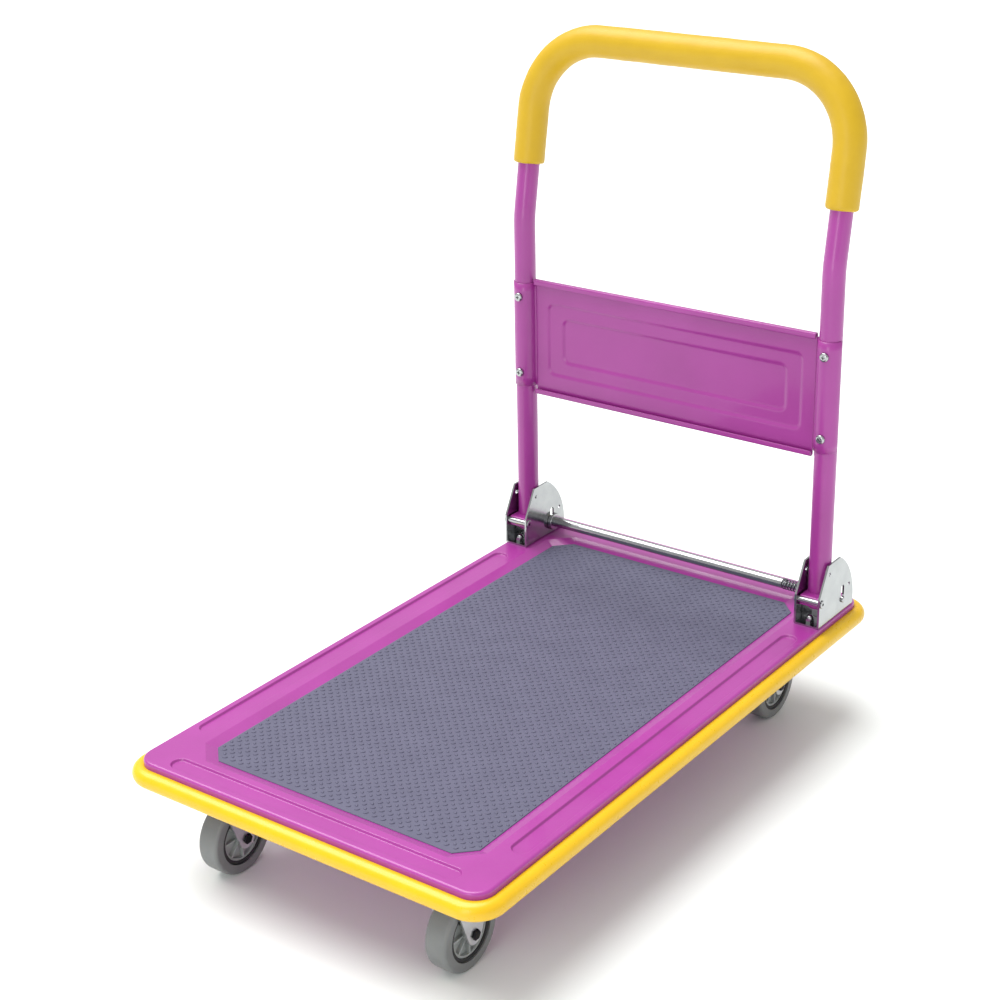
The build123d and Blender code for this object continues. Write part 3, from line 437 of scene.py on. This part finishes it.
across = int(mat_high.x / BAR_PITCH * 2)
along = int((mat_high.y - mat_low.y) / BAR_PITCH * 2)
mat_middle = (mat_high.y + mat_low.y) / 2
bar_count = 0
for i in range(-across, across + 1):
    for j in range(-along // 2, along // 2 + 1):
        x, y = i * BAR_PITCH / 2, mat_middle + j * BAR_PITCH / 2
        if (i + j) % 2 == 0 and fits_on_mat(x, y, BAR_MARGIN):
            add_bar(mat_mesh, x, y, BAR_TURN if i % 2 else -BAR_TURN)
            bar_count += 1
ribbed_mat = add_piece("ribbed_mat", mesh_data(mat_mesh, "ribbed_mat"), mat_rubber)
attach(ribbed_mat, "root")
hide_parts("deck_mat")
print("the mat has", bar_count, "bars")

# %% [markdown]
# ## The back panel
#
# The panel is one sheet of 1.2 mm steel. Its long edges are folded forward and folded again into
# a lip, its ends are rolled round the front of the tubes, and a die presses two steps into its
# face. A folder and a die leave soft radii everywhere, and those radii are what the eye reads, as
# a dark line on one side of a step and a bright one on the other. So the sheet is made as a
# surface without thickness, whose bends are arcs and whose steps are a smooth height, and a
# Solidify modifier gives it its gauge.

# %% Measure the panel
SHEET = 1.2 * MM

panel_low, panel_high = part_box("back_panel")
tube_x = sum(corner.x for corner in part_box("pivot_sleeve_right")) / 2
tube_y = sum(corner.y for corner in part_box("tube_feet")) / 2
wrap_radius = panel_high.x - tube_x - SHEET / 2
print("the tubes are", round(2 * tube_x / MM), "mm apart")
print("the panel wraps them at a radius of", round(wrap_radius / MM, 1), "mm")

# %% Paths with bends
BEND_STEPS = 6


def bent_path(corners, radius):
    """A flat path through the corners, with an arc of the given radius at each inner one."""
    path = [Vector(corners[0])]
    for i in range(1, len(corners) - 1):
        corner = Vector(corners[i])
        back = (Vector(corners[i - 1]) - corner).normalized()
        ahead = (Vector(corners[i + 1]) - corner).normalized()
        half = back.angle(ahead) / 2
        reach = radius / math.tan(half)
        hub = corner + (back + ahead).normalized() * radius / math.sin(half)
        first, last = corner + back * reach - hub, corner + ahead * reach - hub
        for step in range(BEND_STEPS + 1):
            share = step / BEND_STEPS
            spoke = (first * (1 - share) + last * share).normalized() * radius
            path.append(hub + spoke)
    path.append(Vector(corners[-1]))
    return path


def divided(start, end, longest):
    """Values from start to end, no further apart than longest."""
    count = max(1, math.ceil(abs(end - start) / longest))
    return [start + (end - start) * i / count for i in range(count + 1)]


right_angle = bent_path([(0, 1), (0, 0), (1, 0)], 0.5)
print("a right angle takes", len(right_angle), "points")

# %% Pressed steps
PRESS_CORNER = 9 * MM
PRESS_RAMP = 4 * MM
PRESS_DEPTH = 2.0 * MM
PRESS_MIDDLE = 444.5 * MM  # above the floor
PRESS_HALF_HEIGHT = 48.5 * MM
PRESS_MARGIN = 36.5 * MM  # from a tube's axis to the outer step
PRESS_RING = (22 * MM, 18.7 * MM)  # from the outer step to the inner one, sideways and upwards


def ramp(distance):
    """0 outside a pressed outline, 1 inside it, and a smooth slope between."""
    share = min(1, max(0, 0.5 - distance / PRESS_RAMP))
    return share * share * (3 - 2 * share)


def pressed(x, z):
    """How deep the die pushes the sheet at a point."""
    depth = 0
    for step in (0, 1):
        half_x = tube_x - PRESS_MARGIN - step * PRESS_RING[0] - PRESS_CORNER
        half_z = PRESS_HALF_HEIGHT - step * PRESS_RING[1] - PRESS_CORNER
        out_x, out_z = abs(x) - half_x, abs(z - PRESS_MIDDLE) - half_z
        distance = math.hypot(max(out_x, 0), max(out_z, 0)) + min(max(out_x, out_z), 0)
        depth += PRESS_DEPTH * ramp(distance - PRESS_CORNER)
    return depth


print("the middle of the panel is pressed in by", round(pressed(0, PRESS_MIDDLE) / MM, 1), "mm")

# %% The face and its folded edges
FOLD_RADIUS = 1.7 * MM
FOLD_REACH = 6 * MM
FOLD_LIP = 6.5 * MM
FACE_END = 205 * MM  # from the panel's middle to where a rolled end starts
FINE = 1.5 * MM  # the size of the faces, small enough for the steps to read as smooth


def add_face(mesh):
    """The sheet's side view, from lip to lip, repeated across the panel."""
    front = tube_y - FOLD_REACH
    low, high = panel_low.z + SHEET / 2, panel_high.z - SHEET / 2
    lower_edge = [(front, low + FOLD_LIP), (front, low), (tube_y, low)]
    upper_edge = [(tube_y, high), (front, high), (front, high - FOLD_LIP)]
    folds = bent_path(lower_edge + upper_edge, FOLD_RADIUS)
    profile = []
    for here, ahead in zip(folds, folds[1:]):
        shares = divided(0, 1, FINE / (ahead - here).length)[:-1]
        profile += [here.lerp(ahead, share) for share in shares]
    profile.append(folds[-1])
    rows = []
    for y, z in profile:
        on_face = y > tube_y - SHEET / 4
        columns = divided(-FACE_END, FACE_END, FINE)
        rows.append([(x, y + (pressed(x, z) if on_face else 0), z) for x in columns])
    fill_grid(mesh, rows)


panel_mesh = bmesh.new()
add_face(panel_mesh)
print("the face and its folds have", len(panel_mesh.faces), "faces")

# %% The rolled ends
WRAP_HEIGHTS = (377 * MM, 518.5 * MM)  # above the floor
WRAP_ROW = 12 * MM
WRAP_LEAD = 4 * MM
WRAP_FROM = 1.12 * math.pi  # just past the tube's inner side
WRAP_TO = 2 * math.pi  # the tube's outer side
WRAP_STEP = 0.12


def add_rolled_end(mesh, side):
    """The sheet from the end of its face, round the front of the tube on one side."""
    inner_x = tube_x - wrap_radius
    turn_in = [(FACE_END, tube_y), (inner_x, tube_y), (inner_x, tube_y - WRAP_LEAD)]
    roll = [turn_in[0]] + [tuple(p) for p in bent_path(turn_in, FOLD_RADIUS)[1:-1]]
    for angle in divided(WRAP_FROM, WRAP_TO, WRAP_STEP):
        y = tube_y + wrap_radius * math.sin(angle)
        roll.append((tube_x + wrap_radius * math.cos(angle), y))
    heights = divided(*WRAP_HEIGHTS, WRAP_ROW)
    fill_grid(mesh, [[(side * x, y, z) for x, y in roll] for z in heights])


for side in (-1, 1):
    add_rolled_end(panel_mesh, side)
bmesh.ops.recalc_face_normals(panel_mesh, faces=panel_mesh.faces)
print("with its rolled ends the panel has", len(panel_mesh.faces), "faces")

# %% Give the sheet its gauge
panel_data = mesh_data(panel_mesh, "pressed_back_panel")
panel_data.shade_smooth()
pressed_panel = add_piece("pressed_back_panel", panel_data, purple_powder_coat)
gauge = pressed_panel.modifiers.new("gauge", "SOLIDIFY")
gauge.thickness = SHEET
gauge.offset = 0
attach(pressed_panel, "handle")
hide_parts("back_panel")
print("the sheet is", round(SHEET / MM, 1), "mm thick")

# %% [markdown]
# ## The hand grip
#
# The grip is a foam sleeve with a closed skin, pushed over the top of the handle. Foam has no
# sharp edge: its ends are soft, and its surface is never quite round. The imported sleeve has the
# true bends and size, so it is copied and remeshed into small even faces, relaxed until its ends
# round off, and then pushed in and out a little by a smooth noise, with wide lumps and smaller
# ripples on them.

# %% Relax the sleeve
SLEEVE_FACE = 2.2 * MM
RELAX_FACTOR = 0.5
RELAX_ROUNDS = 3

sleeve_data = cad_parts["handle_grip"].data.copy()
foam_grip = bpy.data.objects.new("foam_grip", sleeve_data)
bpy.context.collection.objects.link(foam_grip)
even = foam_grip.modifiers.new("even_faces", "REMESH")
even.mode = "VOXEL"
even.voxel_size = SLEEVE_FACE
relax = foam_grip.modifiers.new("relaxed_ends", "SMOOTH")
relax.factor = RELAX_FACTOR
relax.iterations = RELAX_ROUNDS
bpy.context.view_layer.update()
evaluated = foam_grip.evaluated_get(bpy.context.evaluated_depsgraph_get())
foam_data = bpy.data.meshes.new_from_object(evaluated)
foam_grip.modifiers.clear()
foam_grip.data = foam_data
print("the relaxed sleeve has", len(foam_data.polygons), "faces")

# %% Swell the foam
SWELL = 0.35 * MM
LUMP_PITCH = 28 * MM
RIPPLE_PITCH = 9 * MM
RIPPLE_SHARE = 0.4

normals = [Vector(vertex.normal) for vertex in foam_data.vertices]
for vertex, normal in zip(foam_data.vertices, normals):
    lump = noise.noise(vertex.co / LUMP_PITCH)
    ripple = noise.noise(vertex.co / RIPPLE_PITCH)
    vertex.co += normal * SWELL * (lump + RIPPLE_SHARE * ripple)
foam_data.shade_smooth()
foam_data.materials.clear()
foam_data.materials.append(grip_foam)
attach(foam_grip, "handle")
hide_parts("handle_grip")
print("the foam swells by up to about", round(SWELL / MM, 2), "mm")

# %% [markdown]
# ## The release rod
#
# The rod is turned from bright bar: full size in the middle, with a thinner neck at each end that
# passes through the hinge plates. It could be a screw modifier turning a profile, but the cart
# already needs a function that joins rings for the spring, and a turned part is only rings of
# different sizes. Edges sharper than 35 degrees stay sharp, so the shoulders read as cut.

# %% Measure the rod
rod_low, rod_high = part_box("release_rod")
spring_low, spring_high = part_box("rod_spring")
rod_radius = (rod_high.z - rod_low.z) / 2
rod_y, rod_z = (rod_low.y + rod_high.y) / 2, (rod_low.z + rod_high.z) / 2
rod_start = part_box("rod_collar")[0].x
neck_radius = max(
    math.hypot(v.co.y - rod_y, v.co.z - rod_z)
    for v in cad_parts["release_rod"].data.vertices
    if v.co.x > spring_high.x
)
print("the rod is", round(2 * rod_radius / MM, 1), "mm thick")
print("its neck is", round(2 * neck_radius / MM, 1), "mm thick")

# %% Rings along the rod
SHARP_EDGE = 35


def around_rod(x, radius, angle):
    """A point beside the rod's axis."""
    return (x, rod_y + radius * math.cos(angle), rod_z + radius * math.sin(angle))


def closed_tube(name, rings, material):
    """A closed piece through rings of places, with a cap at each end."""
    mesh = bmesh.new()
    made = [[mesh.verts.new(p) for p in ring] for ring in rings]
    for lower, upper in zip(made, made[1:]):
        join_rings(mesh, lower, upper)
    mesh.faces.new(made[0][::-1])
    mesh.faces.new(made[-1])
    bmesh.ops.recalc_face_normals(mesh, faces=mesh.faces)
    data = mesh_data(mesh, name)
    data.shade_smooth()
    data.set_sharp_from_angle(angle=math.radians(SHARP_EDGE))
    return add_piece(name, data, material)


print("the rod's axis is", round(rod_z / MM, 1), "mm above the floor")

# %% Turn the rod
SPRING_LENGTH = 47 * MM
ROD_SIDES = 48
ROD_EDGE = 0.8 * MM

spring_start = spring_high.x - SPRING_LENGTH
rod_profile = [
    (rod_low.x, neck_radius - ROD_EDGE), (rod_low.x + ROD_EDGE, neck_radius),
    (rod_start, neck_radius), (rod_start, rod_radius),
    (spring_start, rod_radius), (spring_start, neck_radius),
    (rod_high.x - ROD_EDGE, neck_radius), (rod_high.x, neck_radius - ROD_EDGE),
]
rod_angles = [2 * math.pi * i / ROD_SIDES for i in range(ROD_SIDES)]
rod_rings = [[around_rod(x, radius, angle) for angle in rod_angles] for x, radius in rod_profile]
turned_rod = closed_tube("turned_release_rod", rod_rings, bright_chrome_plate)
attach(turned_rod, "release_rod")
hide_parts("release_rod")
print("the rod has", len(rod_profile), "rings of", ROD_SIDES, "corners")

# %% [markdown]
# ## The return spring
#
# A coil spring sits on the rod's right neck and pushes the rod back to the left. Its end turns
# are closed, so that it stands square on the rod's shoulder, and the turns between them are open.
# A swept curve with a bevel could make the coil, but a mesh laid turn by turn keeps the pitch in
# our hands.

# %% Wind the spring
SPRING_TURNS = 12
SPRING_WIRE = 1.8 * MM
SPRING_GAP = 0.3 * MM
CLOSED_PITCH = 1.05 * SPRING_WIRE
WIRE_SIDES = 10
STEPS_PER_TURN = 28

wire = SPRING_WIRE / 2
coil_radius = (spring_high.z - spring_low.z) / 2 - wire
coil_start = spring_start + SPRING_GAP + wire
coil_length = spring_high.x - wire - coil_start
open_pitch = (coil_length - 2 * CLOSED_PITCH) / (SPRING_TURNS - 2)


def coil_x(turn):
    """How far along the rod the wire is after so many turns: close at both ends, open between."""
    closed = min(turn, 1) + max(turn - (SPRING_TURNS - 1), 0)
    return coil_start + closed * CLOSED_PITCH + (turn - closed) * open_pitch


coil_rings = []
for step in range(SPRING_TURNS * STEPS_PER_TURN + 1):
    turn = step / STEPS_PER_TURN
    ring = []
    for side in range(WIRE_SIDES):
        around = 2 * math.pi * side / WIRE_SIDES
        x = coil_x(turn) + wire * math.sin(around)
        ring.append(around_rod(x, coil_radius + wire * math.cos(around), 2 * math.pi * turn))
    coil_rings.append(ring)
return_spring = closed_tube("return_spring", coil_rings, spring_steel)
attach(return_spring, "rod_carrier")
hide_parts("rod_spring")
print("the spring has", SPRING_TURNS, "turns,", round(open_pitch / MM, 1), "mm apart")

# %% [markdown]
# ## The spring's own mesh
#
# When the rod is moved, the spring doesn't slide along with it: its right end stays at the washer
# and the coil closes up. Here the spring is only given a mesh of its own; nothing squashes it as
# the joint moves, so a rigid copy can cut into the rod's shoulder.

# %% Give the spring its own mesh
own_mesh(return_spring)

# %% [markdown]
# ## Floor
#
# A plain pale floor lets the finishes speak. It could be pure white, but the deck throws purple
# light down on it, so it has a breath of green in it, which brings the shadow nearer to grey. It
# is matt, and so wide that its edge is far off.

# %% Floor
FLOOR_HALF_SIZE = 40
FLOOR_COLOUR = "#edf1ef"

floor_mesh = bmesh.new()
bmesh.ops.create_grid(floor_mesh, x_segments=4, y_segments=4, size=FLOOR_HALF_SIZE)
floor_paint, tree, place = new_material("studio_floor_paint")
matt = {"Base Color": linear(FLOOR_COLOUR), "Roughness": 0.9, "Specular IOR Level": 0.2}
shader = add_node(tree, "BsdfPrincipled", matt)
add_node(tree, "OutputMaterial", links={"Surface": shader.outputs["BSDF"]})
floor = add_piece("studio_floor", mesh_data(floor_mesh, "studio_floor"), floor_paint)
floor.location.z = cad_low.z
print("the floor is", 2 * FLOOR_HALF_SIZE, "m wide")

# %% [markdown]
# ## Light
#
# The sky is an even white, as in a white studio. One broad sun, high up and a little to the left,
# gives every tube a light side and lays a soft shadow under the deck: a small lamp would make a
# hard one. A tall softbox in front of the cart is there for its reflection, which draws a clean
# highlight along the paint and the plating.

# %% Light
SKY_STRENGTH = 0.72
SUN_POWER = 3.7
SUN_BREADTH = 55
SUN_FROM = Vector((-0.38, -0.02, 1.0))
SOFTBOX_POWER = 13
SOFTBOX_SIZE = (0.8, 1.6)
SOFTBOX_FROM = Vector((0.42, -2.35, 0.62))


def add_light(name, kind, power, comes_from):
    """A lamp whose light travels from the given direction."""
    lamp = bpy.data.objects.new(name, bpy.data.lights.new(name, kind))
    lamp.data.energy = power
    lamp.rotation_mode = "QUATERNION"
    lamp.rotation_quaternion = comes_from.to_track_quat("Z", "Y")
    bpy.context.collection.objects.link(lamp)
    return lamp


world = bpy.data.worlds.new("white_studio")
world.use_nodes = True
sky = world.node_tree.nodes["Background"]
sky.inputs["Color"].default_value = (1, 1, 1, 1)
sky.inputs["Strength"].default_value = SKY_STRENGTH
bpy.context.scene.world = world
bpy.context.scene.view_settings.view_transform = "Standard"

sun = add_light("soft_sun", "SUN", SUN_POWER, SUN_FROM)
sun.data.angle = math.radians(SUN_BREADTH)
softbox = add_light("front_softbox", "AREA", SOFTBOX_POWER, SOFTBOX_FROM)
softbox.data.shape = "RECTANGLE"
softbox.data.size, softbox.data.size_y = SOFTBOX_SIZE
softbox.location = centre + SOFTBOX_FROM
print("the softbox is", round(SOFTBOX_FROM.length, 2), "m from the cart's middle")

# %% [markdown]
# ## Camera
#
# The camera stands in front of the cart and to its right, higher than the handle, and looks down
# at about the cart's middle. It is tipped by a little over a degree, as a camera in the hand is,
# so its three axes are worked out one by one: a Track To constraint would keep it level.

# %% Camera
CAMERA_PLACE = Vector((1.2425, -1.7088, 0.8497))
CAMERA_AIM = Vector((-0.0224, -0.0095, -0.0526))
CAMERA_ROLL = -0.0212
SENSOR_WIDTH = 36
LENS = 71.62

camera_data = bpy.data.cameras.new("camera")
camera_data.sensor_width = SENSOR_WIDTH
camera_data.lens = LENS
camera = bpy.data.objects.new("camera", camera_data)
bpy.context.collection.objects.link(camera)
forward = (CAMERA_AIM - CAMERA_PLACE).normalized()
right = forward.cross(Vector((0, 0, 1))).normalized()
up = right.cross(forward)
tilted_right = math.cos(CAMERA_ROLL) * right + math.sin(CAMERA_ROLL) * up
tilted_up = math.cos(CAMERA_ROLL) * up - math.sin(CAMERA_ROLL) * right
axes = Matrix((tilted_right, tilted_up, -forward)).transposed().to_4x4()
camera.matrix_world = Matrix.Translation(centre + CAMERA_PLACE) @ axes
bpy.context.scene.camera = camera
print("the camera looks from", round((CAMERA_PLACE - CAMERA_AIM).length, 2), "m away")

# %% Update the scene and finish
bpy.context.view_layer.update()
